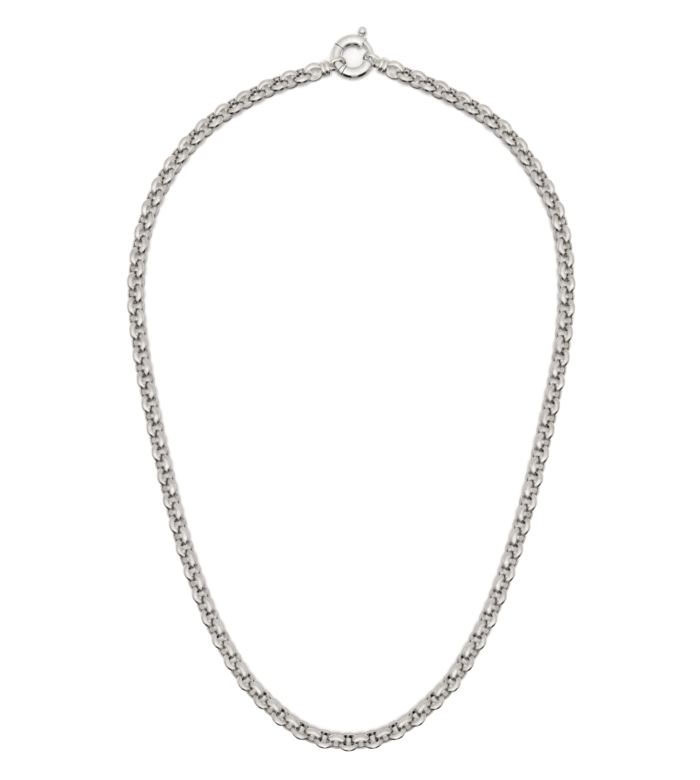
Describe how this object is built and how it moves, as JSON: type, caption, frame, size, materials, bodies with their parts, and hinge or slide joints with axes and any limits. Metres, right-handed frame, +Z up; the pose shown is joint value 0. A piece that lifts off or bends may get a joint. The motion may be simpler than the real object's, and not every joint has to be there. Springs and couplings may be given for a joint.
{
  "type": "rolo chain necklace with a bolt-ring clasp",
  "caption": "Closed necklace of round half-round-wire links, each passing through the next, with a ribbed connector at each end and a bolt-ring clasp whose knob slides the bolt back.",
  "frame": {"origin": "on the table under the middle of the whole necklace as it lies in a loop", "axes": "+Z up from the table, +Y from the front of the chain to the clasp, +X to the right as seen from above"},
  "size_m": [0.1272, 0.2056, 0.0055],
  "materials": {
    "clasp_silver": "polished sterling silver with a rhodium flash",
    "bolt_silver": "polished sterling silver with a rhodium flash",
    "connector_silver": "polished sterling silver with a rhodium flash",
    "chain_silver": "polished sterling silver with a rhodium flash"
  },
  "bodies": {
    "root": {"bolt_ring": "clasp_silver", "left_connector": "connector_silver", "right_connector": "connector_silver", "chain_left": "chain_silver", "chain_right": "chain_silver"},
    "bolt": {"bolt": "bolt_silver"}
  },
  "joints": [
    {"name": "bolt_slide_round", "type": "hinge", "parent": "root", "child": "bolt", "pos_m": [0.00051, 0.09431, 0.00274], "axis": [0, 0, 1], "range_deg": [0, 60], "stiffness_Nm_per_rad": 0.005, "springref_deg": -17.19}
  ]
}
